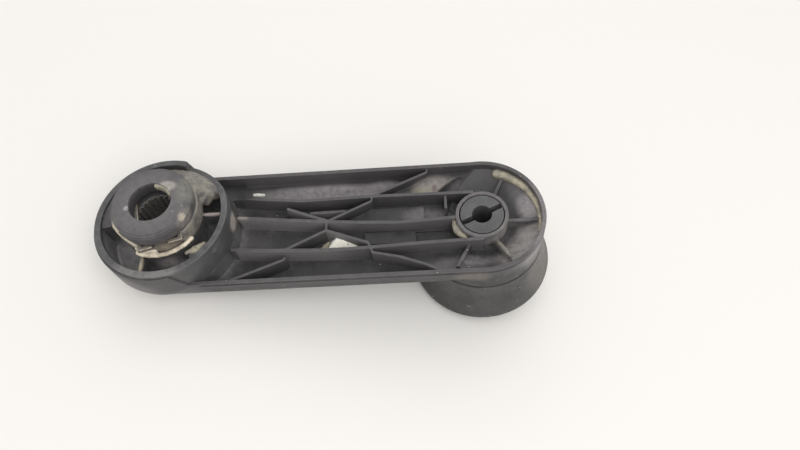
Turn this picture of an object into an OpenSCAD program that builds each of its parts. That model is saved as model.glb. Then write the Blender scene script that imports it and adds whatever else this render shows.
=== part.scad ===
// Window winder crank: a ribbed moulded arm on a splined hub, with a free-turning knob.
// The origin is the centre of the socket's mouth, +Z points out of the socket and
// +X points along the arm to the knob. Heights ending in _z are measured from the
// arm's rim plane, and on_rim() carries them into this frame.

/* [Arm] */
// Distance between the hub axis and the knob axis
crank_l = 90; // [86:1:94]
// Width of the straight arm at its rim
arm_w = 35.8; // [35:0.1:35.9]
// Depth of the arm from its rim to its front face
arm_d = 8.8; // [8.4:0.1:9.2]
// Thickness of the arm's side walls
wall_t = 1.2; // [1:0.1:1.4]
// Thickness of the arm's floor
floor_t = 2.4; // [2:0.1:2.6]
// Radius along the arm's front edges
edge_r = 4.8; // [4:0.1:5.2]
// Thickness of the stiffening ribs
rib_t = 1; // [0.8:0.1:1.2]
// Thickness of the crossing braces
brace_t = 0.8; // [0.6:0.1:1]
// Drop from the rim to the top of the ribs
rib_drop = 0.6; // [0.4:0.1:1]

/* [Hub] */
// Outer radius of the arm's skin around the hub
hub_r = 19.5; // [19.4:0.1:20]
// Height of that skin above the rim plane
hub_h = 7.5; // [7:0.1:8]
// Outer radius of the collar
collar_r = 18.9; // [18.7:0.1:18.9]
// Inner radius of the collar
collar_in_r = 17.1; // [16.8:0.1:17.3]
// Height of the collar's top above the rim plane
collar_h = 8.7; // [8.4:0.1:9]
// Radius of the socket boss
boss_r = 11.3; // [11:0.1:11.5]
// Height of the boss face above the rim plane
boss_h = 16.5; // [16:0.1:17]

/* [Socket] */
// Radius of the socket's smooth mouth
mouth_r = 5.9; // [5.8:0.05:6]
// Radius over the spline's grooves
spline_r = 5.7; // [5.6:0.05:5.7]
// Number of spline grooves
spline_n = 20; // [16:1:24]
// Outer radius of the splined bush
bush_r = 7.6; // [7.4:0.1:7.8]

/* [Clip] */
// Direction in which the clip is pushed out, about +Z from +X
clip_dir = 105; // [100:1:110]
// Outside width of the clip over its two legs
clip_w = 12.4; // [12:0.1:12.6]
// Thickness of the clip's spring steel
clip_t = 1.3; // [1.2:0.1:1.4]
// Width of one leg
clip_leg_w = 1.4; // [1.2:0.1:1.5]
// Depth of the middle of the clip below the boss face
clip_depth = 4.9; // [4.6:0.1:5]

/* [Knob] */
// Radius of the arm's round end
drum_r = 18; // [18:0.1:18.2]
// Depth of the round end from the rim to the knob
drum_d = 10.6; // [10.4:0.1:11]
// Radius of the knob's neck, next to the arm
neck_r = 18; // [17.6:0.1:18.2]
// Radius of the knob's flared rim
knob_r = 21; // [20:0.1:21.4]
// Height of the knob along its axis
knob_h = 15.2; // [14.6:0.1:15.8]
// Gap between the arm and the knob
knob_gap = 0.8; // [0.6:0.1:1]
// Radius of the boss that holds the spindle
pivot_r = 7.5; // [7.4:0.1:7.7]
// Radius of the spindle's shank
shank_r = 4.6; // [4.4:0.1:4.8]
// Radius of the spindle's split head
head_r = 6.2; // [6.1:0.1:6.3]
// Direction of the slot across the head, about +Z from +X
slot_dir = 24; // [0:1:90]

/* [Hidden] */
$fn = 96;
eps = 0.01;

floor_z = floor_t - arm_d;
foot_z = floor_z - 0.1;
drum_edge_r = 0.6;
trough_edge_r = 2.6;
rib_z = -rib_drop;
// Groove round the outside, under the rim: its two heights and its depth
groove_from = -1.4;
groove_to = -0.4;
groove_d = 0.35;
knob_top_z = -drum_d - knob_gap;
knob_face_z = knob_top_z - knob_h;

// Hub: the skin's front edge is a large radius, and the cup inside follows it
front_r = 9;
cup_r = front_r - floor_t;
collar_seat_z = -1;
skin_end_x = 4.1;
skin_foot_x = 7.6;
hub_rib_z = 7;
// Each hub rib: the direction it points in and its offset to the left of the axis
hub_ribs = [[0, 0.7], [90, -2], [270, -3.9]];
base_r = 12.3;
base_z = 7.9;
base_from = -112;
base_to = -33;
// Shelf that joins the boss to the hub's wall: its top and its two directions
shelf_z = 7.9;
shelf_from = 107;
shelf_to = 188.5;
notch_from = 28;
notch_to = 74;
notch_z = 5.6;
lug_dir = -42;

// Steps round the edge of the boss face: outer radius of each and its drop
face_steps = [[boss_r + 1, 10.9, 0.9], [10.9 + eps, 10.3, 0.35]];

// Socket, measured down from the boss face
bush_top_d = 6.2;
bush_l = 13;
spline_groove_w = 0.9;
spline_depth = 0.6;
bush_key = [2, 1];

// Clip
clip_clear = 0.2;
clip_bow_y = 6.9;
clip_tail_y = -11.7;
clip_foot_x = 2.1;
clip_foot_t = 1.2;

// Ribs along the arm, in plan
upper_rib = [[16.2, 11], [25, 9.5], [38, 8.1], [58, 8.4], [88, 7.9]];
centre_rib = [[18.9, 3.5], [31.7, 2.1], [43.5, 0.9], [55.1, -0.2], [66, -0.8], [84, -0.1]];
lower_rib = [[17.9, -6.9], [26.6, -7.6], [44, -8.5], [53, -8.5], [70, -7.9], [90, -7.4]];
// The two crossing braces, bay by bay, in plan
braces = [
    [[18.3, -16.8], [33.6, -11], [33.9, -10.3]],
    [[33.3, -8.1], [45.3, -2.2], [45.4, 0.8]],
    [[46, 0.9], [58.3, 6.7], [58.5, 8.4]],
    [[58.4, 8.4], [74.7, 15.6], [74.9, 16.9]],
    [[33.5, 5.7], [45.6, 0.9]],
    [[45.3, -2.2], [57.4, -6.8], [58.1, -8.3]],
    [[58.2, -8.3], [58.7, -10], [66.4, -11.8], [73.8, -14.6], [77.8, -16.8]]
];
cross_tie = [[40.2, 4.4], [50.8, 4.5]];
tie_z = -1.8;
bay_rib = [[79.9, 3.4], [79.9, 8]];
bay_rib_z = -1.4;
// Openings through the floor, in plan at its top, and the lean of their walls
window_c = [48.2, -7.3];
window_r = 5.3;
hub_slot = [[16.2, 13], [15.4, 17], [17, 16.2], [20.2, 15.9], [24.6, 15.7], [24.6, 13]];
opening_lean = 30;
// Raised pads on the floor: from, to, and height
bay_pads = [[[49, 2.2], [73.4, 6.4], 1.6], [[56, -5.2], [70.8, -1.4], 1.4]];
corner_pad_z = -3.6;

// Knob end
dish_r = 16.6;
dish_in_r = 9;
dish_z = -2.2;
end_r = drum_r - wall_t + 0.2;
dish_from = -117;
dish_to = 150;
// The dish falls away to the floor from this direction on, at this slope
dish_fall_from = 92;
dish_fall = 22;
end_rib_in_z = -3.6;
end_rib_out_z = -1.9;
end_ribs = [62, -5, -61, -117];
head_d = 2.5;
head_seat_z = -2.6;
head_top_z = -0.1;
core_r = 2.8;
slot_w = 1.5;
run_clear = 0.06;

// Knob
shell_t = 2;
shell_top_t = 2.6;
washer_r = 10;
washer_seat_d = 0.5;
washer_sink = 0.1;
washer_clear = 0.1;
washer_t = washer_seat_d + knob_gap + washer_sink - washer_clear;
flange_t = 2;
sleeve_r = 7.2;
sleeve_l = 7;
cap_r = 18.4;
cap_t = 1.6;
cap_sink = 0.5;
lip_h = 1.2;

// Points of an arc about centre c, from angle a0 to a1
function arc(c, r, a0, a1, n = 12) =
    [for (i = [0:n]) c + r * [cos(a0 + (a1 - a0) * i / n), sin(a0 + (a1 - a0) * i / n)]];

// Direction of a path at one of its points, and a point beside the path there
function path_dir(p, i) =
    let (v = p[min(i + 1, len(p) - 1)] - p[max(i - 1, 0)]) v / norm(v);
function beside(p, i, s) = let (d = path_dir(p, i)) p[i] + s * [-d[1], d[0]];

// Band of width w along a path
module stroke(p, w) {
    left = [for (i = [0:len(p) - 1]) beside(p, i, w / 2)];
    right = [for (i = [len(p) - 1:-1:0]) beside(p, i, -w / 2)];
    polygon(concat(left, right));
}

// Lifts a shape from the rim plane's heights to the socket's frame
module on_rim() {
    translate([0, 0, -boss_h]) children();
}

// Prism over a plan shape, between two heights
module prism(low, high) {
    translate([0, 0, low]) linear_extrude(high - low) children();
}

// Wall standing on the floor along a path
module rib(path, top = rib_z, t = rib_t) {
    prism(foot_z, top) stroke(path, t);
}

// Sector of a disc, between two angles
module sector(r, from, to) {
    polygon(concat([[0, 0]], arc([0, 0], r, from, to, 6)));
}

// Cross-section of the straight arm, across and up
module arm_section() {
    half = arm_w / 2;
    polygon(concat(
        [[half, 0]],
        arc([half - edge_r, edge_r - arm_d], edge_r, 0, -90),
        arc([edge_r - half, edge_r - arm_d], edge_r, -90, -180),
        [[-half, 0]]));
}

module arm_outside() {
    rotate([90, 0, 90]) linear_extrude(crank_l) arm_section();
    rotate_extrude() polygon(concat(
        [[0, hub_h], [hub_r, hub_h]],
        arc([hub_r - front_r, front_r - arm_d], front_r, 0, -90, 16),
        [[0, -arm_d]]));
    translate([crank_l, 0, 0]) rotate_extrude() polygon(concat(
        [[0, 0], [drum_r, 0]],
        arc([drum_r - drum_edge_r, drum_edge_r - drum_d], drum_edge_r, 0, -90, 4),
        [[0, -drum_d]]));
}

// The skin's end face slopes from the collar's top down to the arm's rim
module skin_cutaway() {
    rotate([90, 0, 0]) linear_extrude(4 * hub_r, center = true)
        polygon([[skin_end_x, hub_h + 1], [skin_foot_x, 0], [2 * hub_r, 0], [2 * hub_r, hub_h + 1]]);
}

// Cup around the boss, and the seat of the collar above it
module hub_cup() {
    rotate_extrude() polygon(concat(
        [[0, hub_h + 1], [collar_in_r, hub_h + 1], [collar_in_r, -2]],
        arc([hub_r - front_r, front_r - arm_d], cup_r, -22, -90, 10),
        [[0, floor_z]]));
    prism(collar_seat_z, hub_h + 1) circle(r = collar_r);
}

// Trough of the arm, outside the hub's wall
module trough() {
    half = arm_w / 2 - wall_t;
    difference() {
        union() {
            rotate([90, 0, 90]) linear_extrude(crank_l) polygon(concat(
                [[half, 1]],
                arc([half - trough_edge_r, floor_z + trough_edge_r], trough_edge_r, 0, -90, 6),
                arc([trough_edge_r - half, floor_z + trough_edge_r], trough_edge_r, -90, -180, 6),
                [[-half, 1]]));
            translate([crank_l, 0, floor_z]) cylinder(r = drum_r - wall_t, h = arm_d);
        }
        prism(floor_z - 1, arm_d) circle(r = collar_r);
    }
}

// Shallow groove along the arm's side walls and round its end
module side_groove() {
    prism(groove_from, groove_to) difference() {
        translate([0, -2 * hub_r]) square([2 * crank_l, 4 * hub_r]);
        translate([0, groove_d - arm_w / 2]) square([crank_l, arm_w - 2 * groove_d]);
        translate([crank_l, 0]) circle(r = drum_r - groove_d);
        circle(r = hub_r + 1);
    }
}

// Round outline of the bush with four keys that stop it turning in the boss
module bush_outline() {
    circle(r = bush_r);
    for (a = [0:90:270]) {
        rotate(a) translate([0, -bush_key[0] / 2]) square([bush_r + bush_key[1], bush_key[0]]);
    }
}

// Solid shelf between the boss and the hub's wall, and inside the collar above it
module shelf(foot) {
    intersection() {
        union() {
            prism(foot, collar_seat_z) circle(r = collar_in_r + 0.5);
            prism(foot, shelf_z) circle(r = collar_in_r);
        }
        prism(foot, shelf_z) sector(2 * collar_r, shelf_from, shelf_to);
    }
}

module boss() {
    cup_floor = floor_z - 0.5;
    translate([0, 0, cup_floor]) cylinder(r = boss_r, h = boss_h - cup_floor);
    prism(cup_floor, base_z) intersection() {
        circle(r = base_r);
        sector(2 * base_r, base_from, base_to);
    }
    shelf(cup_floor);
    for (r = hub_ribs) {
        rotate(r[0]) translate([boss_r - 2, r[1] - rib_t / 2, cup_floor])
            cube([collar_in_r - boss_r + 1.4, rib_t, hub_rib_z - cup_floor]);
    }
}

// Bores of the socket and the slit that holds the clip
module socket_cuts() {
    translate([0, 0, boss_h - bush_top_d - bush_l]) linear_extrude(bush_l) bush_outline();
    translate([0, 0, boss_h - bush_top_d - eps]) cylinder(r = mouth_r, h = bush_top_d + 1);
    slit_w = clip_w + 2 * clip_clear;
    slit_h = clip_t + 2 * clip_clear;
    translate([0, 0, boss_h - clip_depth]) rotate(clip_dir - 90)
        cube([slit_w, 4 * boss_r, slit_h], center = true);
}

// Two small steps round the boss face
module face_edge() {
    for (s = face_steps) {
        translate([0, 0, boss_h - s[2]]) difference() {
            cylinder(r = s[0], h = s[2] + 1);
            translate([0, 0, -1]) cylinder(r = s[1], h = s[2] + 3);
        }
    }
}

module arm_ribs() {
    rib(upper_rib);
    rib(centre_rib);
    rib(lower_rib);
    for (b = braces) rib(b, t = brace_t);
    rib(cross_tie, tie_z, brace_t);
    rib(bay_rib, bay_rib_z, brace_t);
    for (p = bay_pads) {
        translate([p[0][0], p[0][1], foot_z])
            cube([p[1][0] - p[0][0], p[1][1] - p[0][1], floor_z + p[2] - foot_z]);
    }
}

// Pad in the upper bay, as far as the round recess of the knob end
module corner_pad() {
    difference() {
        prism(foot_z, corner_pad_z)
            polygon([[58.4, 8.4], [75.2, 16.8], [crank_l, 16.8], [crank_l, 8]]);
        translate([crank_l, 0, -arm_d]) cylinder(r = dish_r - 0.4, h = arm_d);
    }
}

// Dished floor of the knob end, with the spindle's boss and its radial ribs
module knob_end() {
    translate([crank_l, 0, 0]) {
        difference() {
            rotate(dish_from) rotate_extrude(angle = dish_to - dish_from)
                polygon([[dish_in_r, foot_z], [dish_in_r, floor_z], [end_r, dish_z], [end_r, foot_z]]);
            rotate(dish_fall_from) translate([0, 0, dish_z]) rotate([-dish_fall, 0, 0]) cube(2 * drum_r);
        }
        translate([0, 0, foot_z]) cylinder(r = pivot_r, h = -foot_z);
        for (a = end_ribs) {
            rotate(a) rotate([90, 0, 0]) translate([0, 0, -rib_t / 2]) linear_extrude(rib_t)
                polygon([[pivot_r - 1, foot_z], [pivot_r - 1, end_rib_in_z],
                         [end_r, end_rib_out_z], [end_r, foot_z]]);
        }
    }
}

// Stepped bore for the spindle, and the washer's recess under the round end
module pivot_cuts() {
    translate([crank_l, 0, 0]) {
        translate([0, 0, head_seat_z]) cylinder(r = head_r + 0.3, h = 4);
        translate([0, 0, -drum_d - 1]) cylinder(r = shank_r + run_clear, h = drum_d + 1);
        translate([0, 0, -drum_d - 1]) cylinder(r = washer_r + 0.3, h = 1 + washer_seat_d);
    }
}

// Opening whose walls lean, drawn at the top of the floor
module leaning_opening(outline) {
    translate([0, 0, floor_z]) rotate([opening_lean, 0, 0]) linear_extrude(3 * floor_t, center = true)
        polygon([for (p = outline) [p[0], p[1] * cos(opening_lean)]]);
}

module arm() {
    color("#3c3b3b") on_rim() difference() {
        union() {
            difference() {
                arm_outside();
                skin_cutaway();
                hub_cup();
                trough();
                side_groove();
            }
            boss();
            arm_ribs();
            corner_pad();
            knob_end();
        }
        leaning_opening(arc(window_c, window_r, 0, 180, 8));
        leaning_opening(hub_slot);
        socket_cuts();
        face_edge();
        pivot_cuts();
    }
}

// Collar pressed into the hub, with an open notch and a small lug inside
module hub_collar() {
    color("#4a4a4b") on_rim() difference() {
        union() {
            difference() {
                prism(collar_seat_z, collar_h) circle(r = collar_r);
                prism(collar_seat_z - 1, collar_h + 1) circle(r = collar_in_r);
            }
            rotate(lug_dir) translate([collar_in_r - 2.6, -3, 3.4]) cube([3, 6, 3.2]);
        }
        prism(notch_z, collar_h + 1) sector(2 * collar_r, notch_from, notch_to);
    }
}

// Steel bush with an internal spline, keyed in the boss
module splined_bush() {
    color("#6b6a66") on_rim() translate([0, 0, boss_h - bush_top_d - bush_l])
        linear_extrude(bush_l) difference() {
            bush_outline();
            circle(r = spline_r - spline_depth);
            for (i = [0:spline_n - 1]) {
                rotate(i * 360 / spline_n) translate([spline_r - spline_depth - 1, -spline_groove_w / 2])
                    square([spline_depth + 1, spline_groove_w]);
            }
        }
}

// Spring clip: two straight legs joined by a round bow, with their ends turned in
module retaining_clip() {
    outer = clip_w / 2;
    inner = outer - clip_leg_w;
    color("#b9b4a6") on_rim() translate([0, 0, boss_h - clip_depth - clip_t / 2]) rotate(clip_dir - 90)
        linear_extrude(clip_t) difference() {
            union() {
                translate([0, clip_bow_y]) circle(r = outer);
                translate([-outer + 0.05, clip_tail_y]) square([2 * outer - 0.1, clip_bow_y - clip_tail_y]);
            }
            translate([0, clip_bow_y]) circle(r = inner);
            translate([-inner - 0.05, clip_tail_y + clip_foot_t])
                square([2 * inner + 0.1, clip_bow_y - clip_tail_y - clip_foot_t]);
            translate([-clip_foot_x, clip_tail_y - 1]) square([2 * clip_foot_x, clip_foot_t + 2]);
        }
}

// Split snap spindle: a head that spreads above its seat, a shank and a foot flange
module knob_spindle() {
    end_z = knob_top_z - shell_top_t - sleeve_l;
    color("#454444") on_rim() translate([crank_l, 0, 0]) difference() {
        union() {
            translate([0, 0, head_top_z - head_d + 0.1]) cylinder(r = head_r, h = head_d - 0.1);
            translate([0, 0, end_z]) cylinder(r = shank_r, h = -end_z - 1);
            translate([0, 0, end_z - flange_t]) cylinder(r = sleeve_r, h = flange_t);
        }
        translate([0, 0, -drum_d]) cylinder(r = core_r, h = drum_d + 1);
        rotate(slot_dir) translate([-2 * head_r, -slot_w / 2, 1 - drum_d]) cube([4 * head_r, slot_w, drum_d]);
    }
}

// Thrust washer between the arm and the knob
module thrust_washer() {
    color("#c9c3b2") on_rim() translate([crank_l, 0, knob_top_z - washer_sink]) difference() {
        cylinder(r = washer_r, h = washer_t);
        translate([0, 0, -1]) cylinder(r = shank_r + 0.3, h = washer_t + 2);
    }
}

// Outline of the flared skirt, from the neck to the rim
function flare(s) = neck_r + (knob_r - neck_r) * pow(s, 1.7);
function skirt(inset) =
    [for (i = [0:10]) [flare(i / 10) - inset, knob_top_z - (knob_h - lip_h) * i / 10]];

module knob_shell() {
    top_in = knob_top_z - shell_top_t;
    cap_top_z = knob_face_z + cap_sink + cap_t;
    in_line = [for (p = skirt(shell_t)) if (p[1] < top_in) p];
    color("#434343") on_rim() translate([crank_l, 0, 0]) difference() {
        union() {
            rotate_extrude() polygon(concat(
                [[shank_r, knob_top_z]],
                skirt(0),
                [[knob_r, knob_face_z + 0.4], [knob_r - 0.4, knob_face_z], [cap_r + 0.1, knob_face_z]],
                [[cap_r + 0.1, cap_top_z], [cap_r - 1.2, cap_top_z]],
                [for (i = [len(in_line) - 2:-1:0]) in_line[i]],
                [[in_line[0][0], top_in], [shank_r, top_in]]));
            translate([0, 0, top_in - sleeve_l]) cylinder(r = sleeve_r, h = sleeve_l + 1);
        }
        translate([0, 0, knob_face_z]) cylinder(r = shank_r, h = knob_h + 1);
        translate([0, 0, knob_top_z - washer_sink]) cylinder(r = washer_r, h = 1);
    }
}

// Snap-in cap that closes the knob's face
module knob_cap() {
    face_z = knob_face_z + cap_sink;
    color("#3f3f40") on_rim() translate([crank_l, 0, 0]) rotate_extrude()
        polygon([[0, face_z - 0.3], [cap_r - 4, face_z], [cap_r - 0.4, face_z],
                 [cap_r, face_z + 0.4], [cap_r, face_z + cap_t], [0, face_z + cap_t]]);
}

arm();
hub_collar();
splined_bush();
retaining_clip();
knob_spindle();
thrust_washer();
knob_shell();
knob_cap();
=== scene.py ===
import math

import bmesh
import bpy
from mathutils import Matrix, Vector, noise


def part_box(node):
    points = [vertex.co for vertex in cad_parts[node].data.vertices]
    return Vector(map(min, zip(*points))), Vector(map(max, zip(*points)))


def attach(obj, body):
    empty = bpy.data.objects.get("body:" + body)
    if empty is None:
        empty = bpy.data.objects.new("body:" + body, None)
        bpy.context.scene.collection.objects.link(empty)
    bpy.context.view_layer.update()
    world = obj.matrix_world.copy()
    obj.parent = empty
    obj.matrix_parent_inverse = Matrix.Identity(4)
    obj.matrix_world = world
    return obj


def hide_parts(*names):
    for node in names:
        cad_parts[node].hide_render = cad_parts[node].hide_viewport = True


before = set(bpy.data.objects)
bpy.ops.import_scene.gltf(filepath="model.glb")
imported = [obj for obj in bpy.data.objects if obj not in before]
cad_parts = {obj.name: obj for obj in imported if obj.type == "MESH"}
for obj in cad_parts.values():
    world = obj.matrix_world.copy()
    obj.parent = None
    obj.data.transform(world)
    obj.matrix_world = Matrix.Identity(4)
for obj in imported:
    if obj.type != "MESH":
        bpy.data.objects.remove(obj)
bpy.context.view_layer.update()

MM = 0.001

# Places that the pieces below share, in metres in the frame shared with the CAD
_, collar_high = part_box("hub_collar")
knob_low, knob_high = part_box("knob_shell")
_, head_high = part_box("knob_spindle")
HEAD_BELOW_RIM = 0.1 * MM
KNOB_X = (knob_low.x + knob_high.x) / 2
RIM_Z = head_high.z + HEAD_BELOW_RIM
COLLAR_R = collar_high.x
BAY_HALF_WIDTH = 16.9 * MM
BAY_FLOOR_Z = -23 * MM

# The crank lies on its knob and on the hub's front, so the table slopes under it
HUB_FRONT = Vector((-10.5 * MM, 0, RIM_Z - 8.8 * MM))
TABLE_SLOPE = math.atan2(HUB_FRONT.z - knob_low.z, knob_low.x - HUB_FRONT.x)

# Colours that more than one material or stain uses
FILM = (0.2, 0.2, 0.17)
BEIGE = (0.32, 0.28, 0.26)
YELLOW = (0.4, 0.36, 0.27)
FLOOR_DUST = (0.3, 0.277, 0.285)
WALL_DUST = (0.15, 0.141, 0.146)
# the tint of the painted light on the bays' walls
PAINTED_WALL_LIGHT_TINT = (0.25, 0.235, 0.24)
SPECKS = (0.42, 0.39, 0.34)
GRIT = (0.05, 0.045, 0.04)
BARE_PLASTIC = (0.03, 0.029, 0.03)

# Sockets of the Mix node when it mixes colours
MIX_FACTOR, MIX_A, MIX_B = 0, 6, 7
MIXED = 2


# ---------------------------------------------------------------- node trees
def new_material(name):
    material = bpy.data.materials.new(name)
    material.use_nodes = True
    return material, material.node_tree, material.node_tree.nodes["Principled BSDF"]


def add(tree, kind, inputs=(), **settings):
    """A node of that kind, with its settings. Its inputs, by name or number, are values or sockets."""
    made = tree.nodes.new(kind)
    for key, value in settings.items():
        setattr(made, key, value)
    for key, value in dict(inputs).items():
        if isinstance(value, bpy.types.NodeSocket):
            tree.links.new(value, made.inputs[key])
        else:
            made.inputs[key].default_value = value
    return made


def math_node(tree, operation, a, b=0.0, clamp=False):
    return add(tree, "ShaderNodeMath", {0: a, 1: b}, operation=operation, use_clamp=clamp).outputs[0]


def times(tree, a, b, clamp=False):
    return math_node(tree, "MULTIPLY", a, b, clamp)


def plus(tree, a, b, clamp=False):
    return math_node(tree, "ADD", a, b, clamp)


def vector_node(tree, operation, inputs):
    return add(tree, "ShaderNodeVectorMath", inputs, operation=operation).outputs


def axes(tree, vector):
    """The x, y and z sockets of a vector."""
    return add(tree, "ShaderNodeSeparateXYZ", {0: vector}).outputs


def ramp(tree, value, low, high, to_low=0.0, to_high=1.0):
    """Maps value from low..high to to_low..to_high, clamped, with a smooth start and end."""
    inputs = {"Value": value, "From Min": low, "From Max": high, "To Min": to_low, "To Max": to_high}
    return add(tree, "ShaderNodeMapRange", inputs, interpolation_type="SMOOTHSTEP").outputs["Result"]


def blend_colour(tree, factor, a, b):
    inputs = {MIX_FACTOR: factor, MIX_A: a, MIX_B: b}
    return add(tree, "ShaderNodeMix", inputs, data_type="RGBA").outputs[MIXED]


def noise_value(tree, place, scale, detail=4.0, roughness=0.6):
    inputs = {"Vector": place, "Scale": scale, "Detail": detail, "Roughness": roughness}
    return add(tree, "ShaderNodeTexNoise", inputs).outputs["Fac"]


def scaled(tree, place, x, y, z):
    return vector_node(tree, "MULTIPLY", {0: place, 1: (x, y, z)})[0]


# ---------------------------------------------------------------- where wear and dirt lie
def patch(tree, place, centre, reach):
    """A soft spot that is 1 at centre and 0 beyond reach along each axis, in millimetres."""
    shifted = vector_node(tree, "SUBTRACT", {0: place, 1: Vector(centre) * MM})[0]
    stretched = scaled(tree, shifted, *(1 / (r * MM) for r in reach))
    distance = vector_node(tree, "LENGTH", {0: stretched})["Value"]
    return ramp(tree, distance, 0.45, 1.0, 1.0, 0.0)


def with_stains_and_painted_light(tree, colour, place, uneven, stains):
    """colour with soft spots over it, in order: stains, and some painted light and shade. Each is (centre,
    reach, tint, strength), in millimetres.
    """
    for centre, reach, tint, strength in stains:
        patchy = ramp(tree, uneven, 0.25, 0.65, 0.4 * strength, strength)
        spot = times(tree, patch(tree, place, centre, reach), patchy)
        colour = blend_colour(tree, spot, colour, (*tint, 1))
    return colour


def inside_bays(tree, place):
    """1 between the arm's side walls, above its floor, and 0 elsewhere."""
    along_arm, across, height = axes(tree, place)
    past_end = math_node(tree, "MAXIMUM", math_node(tree, "SUBTRACT", along_arm, KNOB_X), 0.0)
    beside = add(tree, "ShaderNodeCombineXYZ", {0: past_end, 1: across}).outputs[0]
    reach = vector_node(tree, "LENGTH", {0: beside})["Value"]
    within = ramp(tree, reach, BAY_HALF_WIDTH + 0.05 * MM, BAY_HALF_WIDTH - 0.05 * MM)
    past_hub = ramp(tree, along_arm, COLLAR_R, COLLAR_R + 1 * MM)
    above_floor = ramp(tree, height, BAY_FLOOR_Z - 0.5 * MM, BAY_FLOOR_Z)
    return times(tree, within, times(tree, past_hub, above_floor))


def dust_and_painted_light_by_height(tree, place, uneven, on_wall, depth):
    """Dust and painted light that grow from the first to the second height of depth, so the bays are painted
    darker deeper down, and that stay thin on the bays' walls.
    """
    _, _, height = axes(tree, place)
    raised = ramp(tree, height, depth[0] * MM, depth[1] * MM)
    dust_and_light = times(tree, raised, ramp(tree, uneven, 0.2, 0.7, 0.3, 0.6))
    return times(tree, dust_and_light, ramp(tree, on_wall, 0, 1, 1, 0.35))


def painted_wall_light(tree, place, sideways, on_wall):
    """Painted light on the bays' walls, least on the upper rib, on braces that face the knob and past
    mid-arm, where they stay in painted shade.
    """
    along_arm, across, _ = axes(tree, place)
    below_upper_rib = ramp(tree, across, 7 * MM, 4 * MM, 0.2, 0.75)
    away_from_knob = ramp(tree, sideways, 0.3, 0.1, 0.1, 1)
    near_hub = ramp(tree, along_arm, 45 * MM, 56 * MM, 1, 0.5)
    return times(tree, times(tree, times(tree, on_wall, below_upper_rib), away_from_knob), near_hub)


def rubbed_edges(tree, true_normal, corners):
    """1 along edges that stick out, and 0 on flat faces and in corners."""
    rounded = add(tree, "ShaderNodeBevel", {"Radius": 0.45 * MM}, samples=6).outputs[0]
    flatness = vector_node(tree, "DOT_PRODUCT", {0: rounded, 1: true_normal})["Value"]
    return times(tree, ramp(tree, flatness, 0.995, 0.86), ramp(tree, corners, 0.55, 0.95))


def hairline_scratches(tree, place, broad):
    streak_place = scaled(tree, place, 260, 2600, 900)
    streaks = ramp(tree, noise_value(tree, streak_place, 1.0, 2), 0.7, 0.78)
    return times(tree, streaks, times(tree, ramp(tree, broad, 0.4, 0.6), 0.35))


def scattered_specks(tree, place):
    cells = add(tree, "ShaderNodeTexVoronoi", {"Vector": place, "Scale": 620.0, "Randomness": 1.0})
    dots = ramp(tree, cells.outputs["Distance"], 0.16, 0.09)
    return times(tree, times(tree, dots, ramp(tree, noise_value(tree, place, 170, 2), 0.56, 0.66)), 0.75)


# ---------------------------------------------------------------- materials
def aged_plastic(name, dark, dusty, dust=0.5, wear=0.5, rough=0.55, grain=0.12, depth=None, stains=()):
    """Moulded plastic after years of use: mottled tone, dust in the corners and on top, pale worn edges,
    specks, hairline scratches and a fine moulded grain. depth is the pair of heights, in millimetres,
    between which the arm's rims and walls turn paler with dust and painted light, the bays painted darker
    deeper down; with depth the bays' walls also get painted light and shade. stains are
    (centre, reach, tint, strength) spots: stains, and some painted light and shade."""
    material, tree, shader = new_material(name)
    place = add(tree, "ShaderNodeTexCoord").outputs["Object"]
    geometry = add(tree, "ShaderNodeNewGeometry")
    sideways, _, up = axes(tree, geometry.outputs["Normal"])
    corners = add(tree, "ShaderNodeAmbientOcclusion", {"Distance": 3.5 * MM}, samples=8).outputs["AO"]
    broad = noise_value(tree, place, 90, 5)
    middle = noise_value(tree, place, 480, 6, 0.7)
    fine = noise_value(tree, place, 2600, 3)

    mottled = blend_colour(tree, ramp(tree, broad, 0.35, 0.7), (*dark, 1), (*(c * 1.7 for c in dark), 1))
    on_top = times(tree, ramp(tree, up, 0.55, 0.95), 0.55)
    in_corner = times(tree, ramp(tree, corners, 0.25, 0.85, 1.0, 0.0), 0.35)
    settled_dust_and_light = times(tree, ramp(tree, middle, 0.38, 0.72), plus(tree, on_top, in_corner))
    if depth:
        on_wall = times(tree, ramp(tree, up, 0.6, 0.3), inside_bays(tree, place))
        # dust and painted light that grow toward the rims, painted shade deeper in the bays
        settled_dust_and_light = plus(tree, times(tree, settled_dust_and_light, 0.45), dust_and_painted_light_by_height(tree, place, middle, on_wall, depth))
    dust_and_light_cover = times(tree, settled_dust_and_light, dust, clamp=True)
    colour = blend_colour(tree, dust_and_light_cover, mottled, (*dusty, 1))
    if depth:
        # painted light on the bays' walls, with painted shade where they get less of it
        colour = blend_colour(tree, painted_wall_light(tree, place, sideways, on_wall), colour, (*PAINTED_WALL_LIGHT_TINT, 1))
    # stains, with painted light and shade in some of the spots
    colour = with_stains_and_painted_light(tree, colour, place, middle, stains)

    scratched = hairline_scratches(tree, place, broad)
    rubbed = times(tree, ramp(tree, middle, 0.3, 0.6, 0.35, 1.0), wear)
    rubbed = times(tree, rubbed_edges(tree, geometry.outputs["True Normal"], corners), rubbed)
    pale = tuple(min(1.0, c * 1.15 + 0.05) for c in dusty)
    colour = blend_colour(tree, math_node(tree, "MAXIMUM", scratched, rubbed), colour, (*pale, 1))
    colour = blend_colour(tree, scattered_specks(tree, place), colour, (*SPECKS, 1))
    tree.links.new(colour, shader.inputs["Base Color"])

    matt = ramp(tree, middle, 0.3, 0.7, rough - 0.1, rough + 0.1)
    roughness = plus(tree, matt, times(tree, dust_and_light_cover, 0.25), clamp=True)
    tree.links.new(roughness, shader.inputs["Roughness"])

    pits = plus(tree, fine, times(tree, middle, 0.8))
    relief = math_node(tree, "SUBTRACT", pits, times(tree, scratched, 0.8))
    bump = add(tree, "ShaderNodeBump", {"Strength": grain * 4, "Distance": 0.05 * MM, "Height": relief})
    tree.links.new(bump.outputs["Normal"], shader.inputs["Normal"])
    return material


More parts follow.
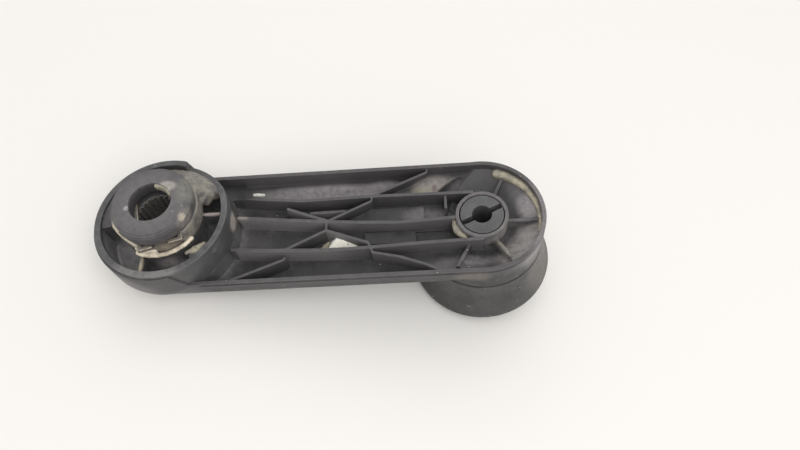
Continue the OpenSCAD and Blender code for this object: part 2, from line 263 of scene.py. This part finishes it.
def steel(name, colour, stain, rough=0.35):
    """Spring or bush steel under an old film of grease, with brushed lines and brown stains."""
    material, tree, shader = new_material(name)
    place = add(tree, "ShaderNodeTexCoord").outputs["Object"]
    stains = ramp(tree, noise_value(tree, place, 420, 6, 0.7), 0.42, 0.62)
    lines = noise_value(tree, scaled(tree, place, 700, 700, 6000), 1.0, 3)
    bright = blend_colour(tree, ramp(tree, lines, 0.3, 0.7), (*colour, 1), (*(c * 0.7 for c in colour), 1))
    tree.links.new(blend_colour(tree, stains, bright, (*stain, 1)), shader.inputs["Base Color"])
    tree.links.new(ramp(tree, stains, 0, 1, 0.95, 0.35), shader.inputs["Metallic"])
    tree.links.new(ramp(tree, lines, 0.2, 0.8, rough - 0.08, rough + 0.2), shader.inputs["Roughness"])
    bump = add(tree, "ShaderNodeBump", {"Strength": 0.4, "Distance": 0.03 * MM, "Height": lines})
    tree.links.new(bump.outputs["Normal"], shader.inputs["Normal"])
    return material


def grease(name, pale, deep, rough=0.42):
    """Dried grease with dirt in it: two tones in clouds, dark grit and a soft waxy shine."""
    material, tree, shader = new_material(name)
    place = add(tree, "ShaderNodeTexCoord").outputs["Object"]
    clouds = noise_value(tree, place, 330, 6, 0.65)
    grit = ramp(tree, noise_value(tree, place, 1900, 3), 0.6, 0.7)
    mixed = blend_colour(tree, ramp(tree, clouds, 0.36, 0.64), (*deep, 1), (*pale, 1))
    gritty = blend_colour(tree, times(tree, grit, 0.55), mixed, (*GRIT, 1))
    tree.links.new(gritty, shader.inputs["Base Color"])
    tree.links.new(ramp(tree, clouds, 0.3, 0.7, rough + 0.15, rough - 0.1), shader.inputs["Roughness"])
    height = plus(tree, clouds, times(tree, grit, 0.3))
    bump = add(tree, "ShaderNodeBump", {"Strength": 0.6, "Distance": 0.2 * MM, "Height": height})
    tree.links.new(bump.outputs["Normal"], shader.inputs["Normal"])
    return material


# ---------------------------------------------------------------- stains and painted light and shade: (centre, reach, tint, strength)
UPPER_BAY_STAINS = [
    ((42, 13.2, -22.8), (27, 4.4, 2.5), FLOOR_DUST, 0.95),
    ((62, 13, -22.5), (8, 5, 2), FLOOR_DUST, 0.8),
]
SPINDLE_FLOOR_STAINS_AND_PAINTED_SHADE = [
    ((103, 6, -19), (9, 9, 4), WALL_DUST, 0.7),
    ((102, 3, -19.5), (6, 6, 3), (0.34, 0.31, 0.32), 0.8),
    ((75, 3.5, -22), (10, 4, 3), FLOOR_DUST, 0.5),
    ((99, -7, -19.5), (11, 11, 4), (0.34, 0.32, 0.31), 0.8),
    # a dark band along the rib at the spindle's end: painted shade on its shadowed side
    ((102, -1.2, -19), (8, 1.8, 3.8), (0.05, 0.045, 0.052), 0.9),
    ((83, -13, -22), (13, 4, 4), FLOOR_DUST, 0.45),
]
CORNER_PAD_STAINS = [
    ((77, 12.5, -20), (8, 4.5, 2), (0.3, 0.275, 0.255), 0.85),
    ((73, 10.5, -20), (4, 2.5, 2), (0.3, 0.27, 0.2), 0.7),
    ((76.9, 11.7, -20.1), (1, 1.6, 1), (0.13, 0.08, 0.075), 0.85),
    ((82, 13, -21), (4, 4, 3), WALL_DUST, 0.4),
]
BOSS_STAINS_AND_PAINTED_LIGHT = [
    # its face, the dark socket, the greasy right side and the socket's rim
    # its face: dust, made paler still as a painted sheen
    ((0, 0, 0), (14, 14, 1.5), WALL_DUST, 0.75),
    ((0, 0, -5), (11, 11, 4.8), BARE_PLASTIC, 0.85),
    ((9.5, 3.5, -1), (3.5, 6, 4), FILM, 0.75),
    ((10.3, -5.5, -1.5), (3, 5, 3), (0.31, 0.28, 0.245), 0.55),
    # a pale spot on the lower right edge: a painted highlight over the greasy film
    ((9.5, -5.1, -0.6), (1.3, 1.5, 1.5), (0.48, 0.43, 0.35), 0.95),
    ((4.1, 4.6, 0), (3.4, 2.2, 1.2), (0.4, 0.37, 0.34), 0.9),
    ((-6.1, -1.7, 0), (1, 1, 1), (0.42, 0.41, 0.41), 0.8),
    # its lower side, under the clip
    ((5, -10.5, -6.5), (6, 4, 2.6), (0.3, 0.25, 0.19), 0.85),
    ((-4, -10.5, -6.5), (4, 4, 2.4), (0.45, 0.41, 0.35), 0.85),
]
HUB_STAINS = [
    # its bottom, and the floors beside it
    ((0, 0, -24), (24, 24, 14), (0.45, 0.44, 0.44), 1),
    ((-14, -8, -22), (9, 10, 9), (0.5, 0.49, 0.49), 1),
    ((3, -13, -18), (7, 5, 9), (0.6, 0.54, 0.55), 0.9),
    ((24, 4, -22), (8, 14, 4), WALL_DUST, 0.25),
    ((20, 3.4, -17.5), (3, 1.6, 2), BEIGE, 0.8),
    ((-9.5, -6.5, -4), (3.5, 4.5, 5), (0.28, 0.28, 0.24), 0.7),
    # its ribs, its shelf and its outside
    ((14.2, 0.7, -9.5), (3.6, 1, 1.2), BEIGE, 0.9),
    ((-3.9, -14.4, -9.5), (1, 3.4, 1.6), YELLOW, 0.9),
    ((-11, 10, -8.6), (9, 11, 1), (0.12, 0.12, 0.12), 0.8),
    ((-8, -17, -17), (12, 5, 8), FLOOR_DUST, 0.5),
]
ROUND_END_STAINS_AND_PAINTED_HIGHLIGHT = [
    ((86, -18.5, -20), (7, 2, 4), (0.2, 0.17, 0.14), 0.6),
    ((104, -12, -21), (6, 6, 6), FLOOR_DUST, 0.5),
    # a paler band along the round end's right rim: a painted highlight, in the floor dust's colour
    ((106, -2, -16.5), (5, 15, 1.6), FLOOR_DUST, 0.5),
    ((90, 0, -17), (10.2, 10.2, 1.5), FLOOR_DUST, 0.6),
]
ARM_STAINS_AND_PAINTED_LIGHT = (UPPER_BAY_STAINS + SPINDLE_FLOOR_STAINS_AND_PAINTED_SHADE + CORNER_PAD_STAINS + BOSS_STAINS_AND_PAINTED_LIGHT + HUB_STAINS
              + ROUND_END_STAINS_AND_PAINTED_HIGHLIGHT)
COLLAR_STAINS = [
    ((12.3, -9.6, -10.5), (4.5, 2.6, 2.5), (0.3, 0.28, 0.25), 0.8),
    ((19.4, 0.6, -14), (3, 4, 3.6), (0.45, 0.4, 0.36), 0.85),
    ((-3, -18, -8), (14, 5, 2), (0.26, 0.25, 0.25), 0.6),
    ((-14, -5, -14), (9, 13, 6), (0.4, 0.39, 0.39), 0.9),
]
# a paler patch on the knob's right side: a painted highlight where light falls on it
KNOB_PAINTED_HIGHLIGHT = [((109, -10, -34), (9, 14, 12), (0.17, 0.155, 0.142), 0.6)]


# ---------------------------------------------------------------- pieces
def show(mesh, name, body, material):
    piece = bpy.data.objects.new(name, mesh)
    bpy.context.scene.collection.objects.link(piece)
    piece.data.materials.append(material)
    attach(piece, body)
    return piece


def softened(node, body, material, radius, segments=2):
    """The CAD node with every sharp edge rounded, as a moulding or a stamping leaves its tool. It stands for
    the node."""
    bm = bmesh.new()
    bm.from_mesh(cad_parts[node].data)
    bmesh.ops.remove_doubles(bm, verts=bm.verts, dist=0.012 * MM)
    bmesh.ops.dissolve_degenerate(bm, dist=0.005 * MM, edges=bm.edges)
    bmesh.ops.dissolve_limit(bm, angle_limit=math.radians(0.4), verts=bm.verts, edges=bm.edges)
    sharp = [e for e in bm.edges if len(e.link_faces) == 2 and e.calc_face_angle(0) > math.radians(32)]
    bmesh.ops.bevel(bm, geom=sharp, offset=radius, offset_type="OFFSET", segments=segments, profile=0.5,
                    affect="EDGES", clamp_overlap=False)
    for face in bm.faces:
        face.smooth = True
    for edge in bm.edges:
        edge.smooth = edge.calc_face_angle(0) < math.radians(38)
    mesh = bpy.data.meshes.new(node + "_finished")
    bm.to_mesh(mesh)
    bm.free()
    piece = show(mesh, node + "_finished", body, material)
    normals = piece.modifiers.new("flat faces stay flat", "WEIGHTED_NORMAL")
    normals.keep_sharp = True
    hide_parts(node)


def build_pieces():
    arm_plastic = aged_plastic("arm_plastic", BARE_PLASTIC, (0.13, 0.123, 0.127), dust=0.75, wear=0.45,
                               rough=0.5, depth=(-22, -17.5), stains=ARM_STAINS_AND_PAINTED_LIGHT)
    collar_plastic = aged_plastic("collar_plastic", (0.06, 0.06, 0.062), (0.2, 0.197, 0.197), dust=0.6,
                                  rough=0.5, stains=COLLAR_STAINS)
    knob_plastic = aged_plastic("knob_plastic", (0.036, 0.036, 0.036), (0.18, 0.175, 0.17), dust=0.55,
                                wear=0.4, rough=0.48, grain=0.16, stains=KNOB_PAINTED_HIGHLIGHT)
    spindle_plastic = aged_plastic("spindle_plastic", (0.055, 0.056, 0.058), (0.16, 0.16, 0.16), dust=0.6,
                                   wear=0.4, rough=0.5)
    cap_plastic = aged_plastic("cap_plastic", (0.035, 0.035, 0.036), (0.18, 0.17, 0.16), wear=0.4, rough=0.4)
    washer_plastic = aged_plastic("washer_plastic", (0.3, 0.28, 0.23), (0.4, 0.37, 0.3), dust=0.6, wear=0.2,
                                  rough=0.5)
    clip_steel = steel("clip_steel", (0.5, 0.47, 0.42), (0.2, 0.16, 0.11))
    bush_steel = steel("bush_steel", (0.45, 0.44, 0.43), (0.2, 0.18, 0.16), rough=0.45)

    softened("arm", "crank", arm_plastic, 0.16 * MM)
    softened("hub_collar", "crank", collar_plastic, 0.25 * MM, 3)
    softened("splined_bush", "crank", bush_steel, 0.1 * MM)
    softened("retaining_clip", "clip", clip_steel, 0.3 * MM, 3)
    softened("knob_spindle", "knob", spindle_plastic, 0.2 * MM, 3)
    softened("thrust_washer", "knob", washer_plastic, 0.1 * MM)
    softened("knob_shell", "knob", knob_plastic, 0.25 * MM, 3)
    softened("knob_cap", "knob", cap_plastic, 0.2 * MM)


# ---------------------------------------------------------------- grease, in millimetres from the rim plane
def lump(name, material, beads, voxel=0.22, waves=0.12):
    """Beads of (x, y, z, radius), melted into one uneven lump that rides on the crank."""
    bm = bmesh.new()
    for x, y, z, radius in beads:
        place = Matrix.Translation(Vector((x, y, z)) * MM + Vector((0, 0, RIM_Z)))
        bmesh.ops.create_icosphere(bm, subdivisions=2, radius=radius * MM, matrix=place)
    mesh = bpy.data.meshes.new(name)
    bm.to_mesh(mesh)
    bm.free()
    rough = bpy.data.objects.new(name + "_rough", mesh)
    bpy.context.scene.collection.objects.link(rough)
    remesh = rough.modifiers.new("melt", "REMESH")
    remesh.mode = "VOXEL"
    remesh.voxel_size = voxel * MM
    smooth = rough.modifiers.new("smooth", "SMOOTH")
    smooth.factor = 0.6
    smooth.iterations = 6
    melted = bpy.data.meshes.new_from_object(rough.evaluated_get(bpy.context.evaluated_depsgraph_get()))
    bpy.data.objects.remove(rough)
    for vertex in melted.vertices:
        vertex.co += vertex.normal * noise.fractal(vertex.co / (1.6 * MM), 0.9, 2.0, 3) * waves * MM
    for polygon in melted.polygons:
        polygon.use_smooth = True
    show(melted, name, "crank", material)


def polar(radius, angle, height, bead, centre_x=0.0):
    """A bead at that radius and angle about the hub axis, or about an axis at centre_x."""
    turn = math.radians(angle)
    return (centre_x + radius * math.cos(turn), radius * math.sin(turn), height, bead)


def along(start, end, count, bead, taper=0.5):
    """Beads from start to end, thickest in the middle."""
    made = []
    for i in range(count):
        share = i / (count - 1)
        made.append((*Vector(start).lerp(Vector(end), share), bead * (1 - taper * abs(2 * share - 1))))
    return made


def grease_at_socket(brown, pale, yellow):
    """What has been pushed out of the socket: in the notch, on the ledge under the clip, and in the mouth."""
    slope = ((11.6, 12, 1.3), (12.3, 10.2, 1.7), (13.3, 8.2, 1.9), (14.8, 6.6, 1.9), (16, 5.4, 1.6))
    slump = [polar(r, a, z, b) for a in range(30, 92, 2) for r, z, b in slope]
    slump += [polar(13, 24, 6.2, 1.3), polar(11.9, 22, 8.5, 1.4)]
    slump += [polar(10.3, a, z, 1.5) for a in range(-42, 26, 3) for z in (7.4, 8.7, 10, 11.3)]
    lump("grease_in_notch", brown, slump, 0.4)

    ledge = [polar(12, a, 7.8, 0.7) for a in range(-115, -35, 2)]
    ledge += [polar(11.3, a, z, 0.6) for a in range(-114, -86, 3) for z in (8.6, 9.4)]
    lump("grease_on_ledge", pale, ledge)

    lug = along((8.2, -10.9, 6.2), (12.8, -8.4, 6.5), 12, 0.9, 0.3)
    lug += along((9.6, -11.2, 6.3), (12, -9.8, 6.5), 6, 0.7)
    # and a thread down the left of the boss
    lug += [polar(10.8 + 0.03 * i, 210 + 2.8 * i, 15.3 - 0.4 * max(0, i - 6), 0.7) for i in range(18)]
    lump("grease_on_lug", yellow, lug)

    mouth = [polar(5.7, a, z, 0.75) for a in range(30, 84, 4) for z in (15.5, 14.5)]
    lump("grease_in_mouth", yellow, mouth)


def grease_and_painted_light_in_trough(yellow, white):
    """White lumps in the upper bay's slot and in the opening in the floor, painted light that stands for the
    lit table seen through them, and yellow grease beside the opening.
    """
    # the white lump in the slot is painted light: it stands for the lit table seen through the slot
    lump("slot_painted_light", white, along((21.4, 14.6, -6.2), (24.4, 14.4, -6.2), 8, 0.7, 0.2))

    # the white plug in the window is painted light: it stands for the lit table seen through the opening
    # the beads of a sloping grid that lie within half an ellipse
    columns, rows, pitch, rise = 13, 7, 0.6, 0.35
    plug = [(46.3 + pitch * i, -6.4 + pitch * j, -5.1 + rise * j, 0.8) for i in range(columns)
            for j in range(rows) if (i - columns // 2) ** 2 + (1.3 * j) ** 2 < 40]
    lump("window_painted_light", white, plug)

    rag = [(43.6, -5.7, -6, 0.8), (44.3, -4.7, -6, 0.9), (45.2, -3.9, -6, 0.8), (44, -6.5, -6, 0.9),
           (45, -5.5, -6, 0.7)]
    lump("grease_beside_window", yellow, rag)


def grease_at_knob_end(brown, yellow):
    """A band that follows the round wall, dabs beside the spindle's boss and a smear along one rib."""
    axis = round(KNOB_X / MM)
    first, last = -18, 72
    band = []
    for a in range(first, last, 2):
        share = (a - first) / (last - first)
        band.append(polar(16.7 - 0.7 * share, a, -2.5 - 0.4 * share, 0.65 + 0.9 * share, axis))
    dabs = [polar(8, a, -2.3, 1.25 - abs(a - 208) / 50, axis) for a in range(186, 232, 4)]
    lump("grease_round_end", yellow, band + dabs)
    lump("grease_on_end_rib", brown, along((94.1, -7.6, -3.3), (96.9, -12.8, -2.3), 12, 0.8, 0.2))


def build_grease():
    brown = grease("grease_brown", (0.24, 0.224, 0.188), (0.128, 0.118, 0.114), 0.5)
    pale = grease("grease_pale", (0.82, 0.73, 0.58), (0.4, 0.34, 0.27), 0.38)
    yellow = grease("grease_yellow", (0.43, 0.39, 0.29), (0.25, 0.23, 0.19), 0.45)
    # white for the lumps in the slot and the window: painted light for the lit table seen through them
    white = grease("painted_light_white", (0.95, 0.93, 0.85), (0.9, 0.87, 0.76), 0.3)
    grease_at_socket(brown, pale, yellow)
    grease_and_painted_light_in_trough(yellow, white)
    grease_at_knob_end(brown, yellow)


# ---------------------------------------------------------------- table, camera and light
def build_floor():
    mesh = bpy.data.meshes.new("floor")
    bm = bmesh.new()
    bmesh.ops.create_grid(bm, x_segments=1, y_segments=1, size=3)
    bm.to_mesh(mesh)
    bm.free()
    floor = bpy.data.objects.new("floor", mesh)
    bpy.context.scene.collection.objects.link(floor)
    floor.location = (knob_low.x, 0, knob_low.z)
    floor.rotation_euler = (0, TABLE_SLOPE, 0)
    material, _, shader = new_material("floor_white")
    shader.inputs["Base Color"].default_value = (0.8, 0.785, 0.76, 1)
    shader.inputs["Roughness"].default_value = 0.6
    floor.data.materials.append(material)


def build_camera():
    camera = bpy.data.objects.new("camera", bpy.data.cameras.new("camera"))
    bpy.context.scene.collection.objects.link(camera)
    camera.data.lens = 30.54
    camera.data.clip_start = 0.01
    place = Vector((0.07887, -0.09652, 0.15084))
    target = Vector((0.06666, -0.00221, -0.0165))
    roll = math.radians(9.54)
    aim = (target - place).to_track_quat("-Z", "Y").to_matrix()
    camera.matrix_world = Matrix.Translation(place) @ (aim @ Matrix.Rotation(-roll, 3, "Z")).to_4x4()
    bpy.context.scene.camera = camera


def area_light(name, place, size, power, target=(0.045, 0, -0.02)):
    light = bpy.data.objects.new(name, bpy.data.lights.new(name, "AREA"))
    bpy.context.scene.collection.objects.link(light)
    light.data.size = size
    light.data.energy = power
    light.location = place
    light.rotation_euler = (Vector(target) - Vector(place)).to_track_quat("-Z", "Y").to_euler()


def build_lights():
    world = bpy.data.worlds.new("studio")
    world.use_nodes = True
    bpy.context.scene.world = world
    background = world.node_tree.nodes["Background"]
    background.inputs["Color"].default_value = (1, 0.985, 0.965, 1)
    background.inputs["Strength"].default_value = 0.8
    area_light("front", (0.4, -0.45, 0.75), 0.9, 4.5)
    area_light("back", (0.3, 0.6, 0.8), 0.8, 1.5)
    bpy.context.scene.view_settings.view_transform = "Standard"


build_pieces()
build_grease()
build_floor()
build_camera()
build_lights()
